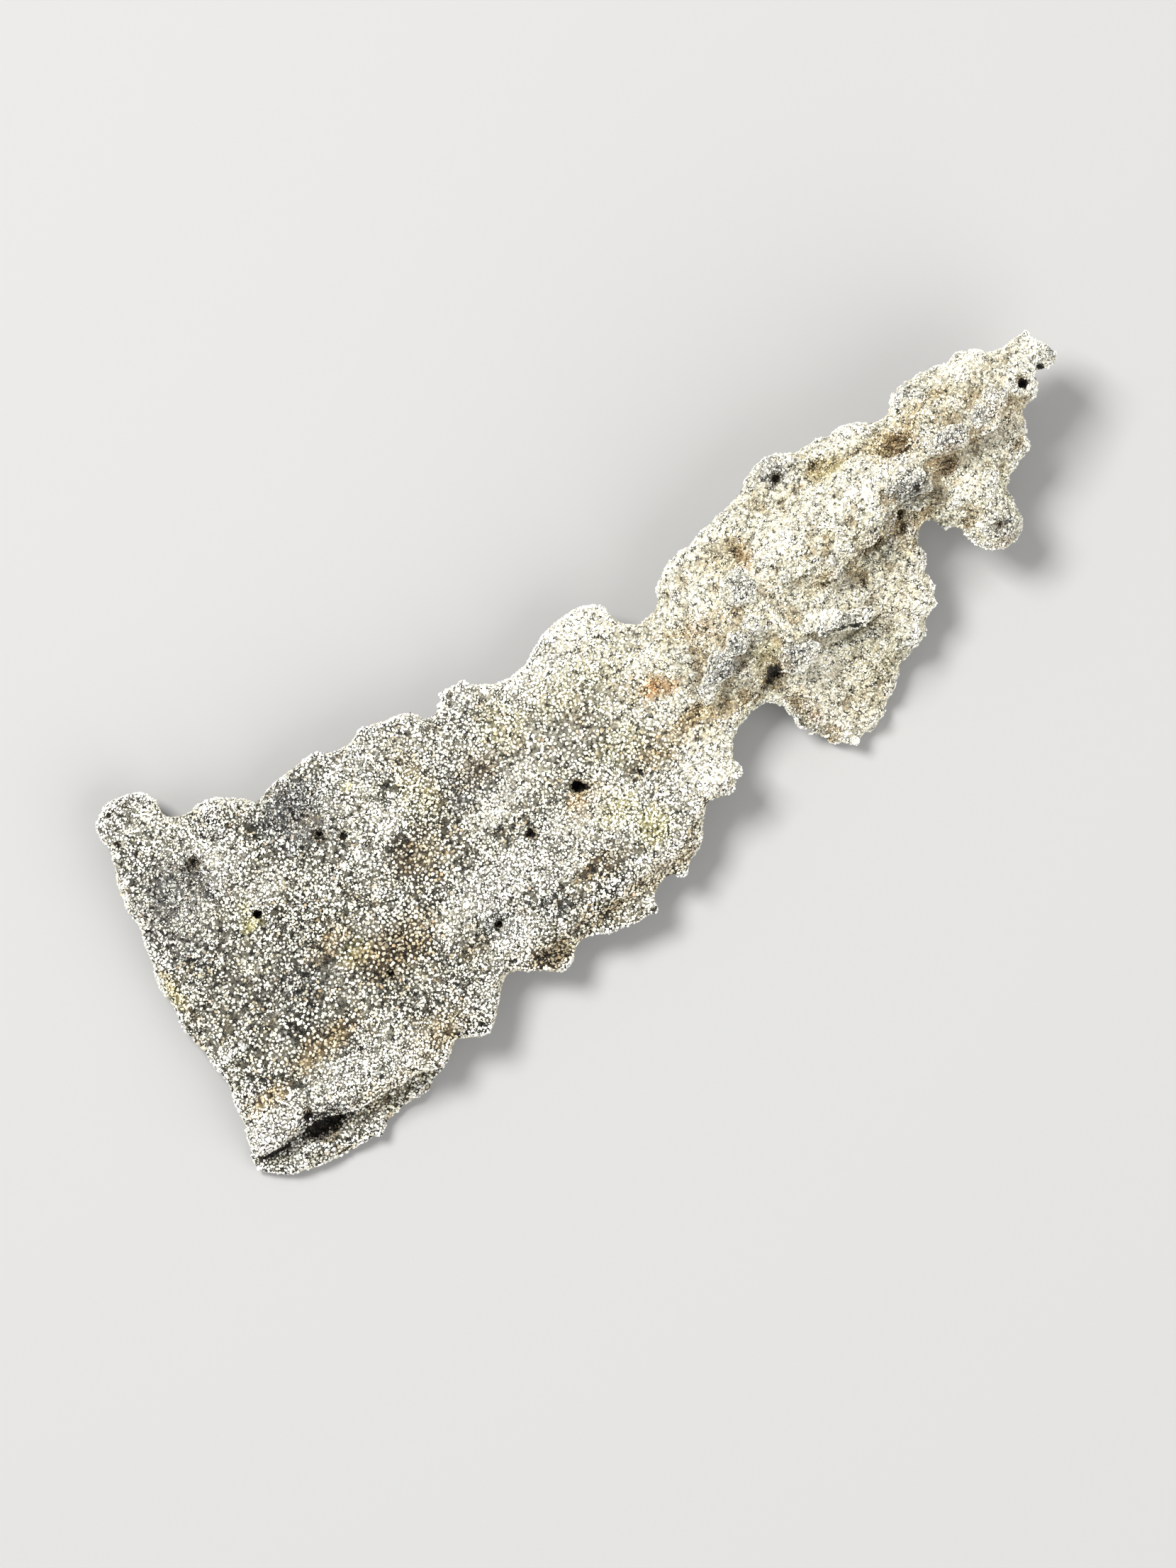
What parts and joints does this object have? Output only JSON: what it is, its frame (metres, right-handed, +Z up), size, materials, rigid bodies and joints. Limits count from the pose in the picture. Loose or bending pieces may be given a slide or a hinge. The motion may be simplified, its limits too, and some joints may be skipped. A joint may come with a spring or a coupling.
{
  "type": "fulgurite",
  "caption": "Flat, broad blade of fused sand that narrows to a knobbly winged ridge with a drooping fin, a hook and a pointed tip.",
  "frame": {"origin": "under the middle of the piece's bounding box, on the surface that it lies on", "axes": "+X from the broken broad end to the tip, +Y to the side with the shoulder knob, +Z up off the table"},
  "size_m": [0.0594, 0.0228, 0.0093],
  "materials": {
    "sand_crust": "rough crust of white and cream sand grains half sunk in grey-brown silica glass"
  },
  "bodies": {
    "root": {"fulgurite": "sand_crust"}
  },
  "joints": []
}
